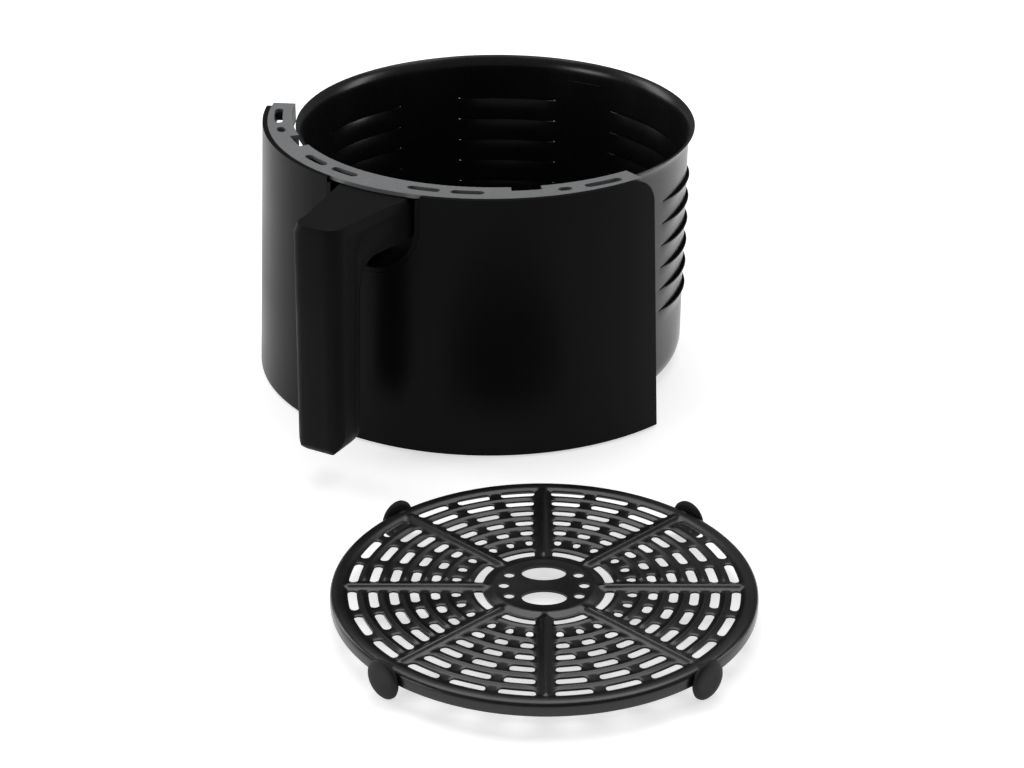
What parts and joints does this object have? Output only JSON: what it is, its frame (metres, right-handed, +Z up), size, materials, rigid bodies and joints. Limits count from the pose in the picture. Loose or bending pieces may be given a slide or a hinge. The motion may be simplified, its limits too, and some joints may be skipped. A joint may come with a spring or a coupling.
{
  "type": "air fryer drawer",
  "caption": "Round air fryer drawer: louvred steel pan with a curved front, bar handle and slotted collar, and a loose slotted crisper plate on silicone bumpers beside it.",
  "frame": {"origin": "centre of the pan's flat bottom, on the surface that the drawer stands on", "axes": "+Z up along the pan's axis, -Y out through the front panel along the handle, +X to the right of someone who looks along +Y"},
  "size_m": [0.3901, 0.454, 0.143],
  "materials": {
    "pan_coating": "semi-gloss black non-stick coating on sheet steel",
    "bracket_steel": "plain bent sheet steel",
    "fastener_steel": "zinc-plated",
    "liner_plastic": "matte moulded",
    "panel_plastic": "satin black",
    "collar_plastic": "matte dark grey moulded",
    "handle_plastic": "matte soft touch",
    "silicone": "matte moulded silicone"
  },
  "bodies": {
    "drawer": {"pan": "pan_coating", "upper_bracket": "bracket_steel", "weld_nuts": "fastener_steel", "lower_bracket": "bracket_steel", "liner": "liner_plastic", "front_panel": "panel_plastic", "panel_screws": "fastener_steel", "collar": "collar_plastic", "collar_screws": "fastener_steel", "handle_cup": "panel_plastic", "handle_core": "bracket_steel", "handle_bolts": "fastener_steel", "handle_washers": "fastener_steel", "handle_front_shell": "handle_plastic", "handle_back_shell": "handle_plastic", "shell_screws": "fastener_steel"},
    "crisper": {"crisper_plate": "pan_coating", "bumper_1": "silicone", "bumper_2": "silicone", "bumper_3": "silicone", "bumper_4": "silicone"}
  },
  "joints": [
    {"name": "plate_lift", "type": "slide", "parent": "drawer", "child": "crisper", "axis": [0, 0, 1], "range_m": [0, 0.2]}
  ]
}
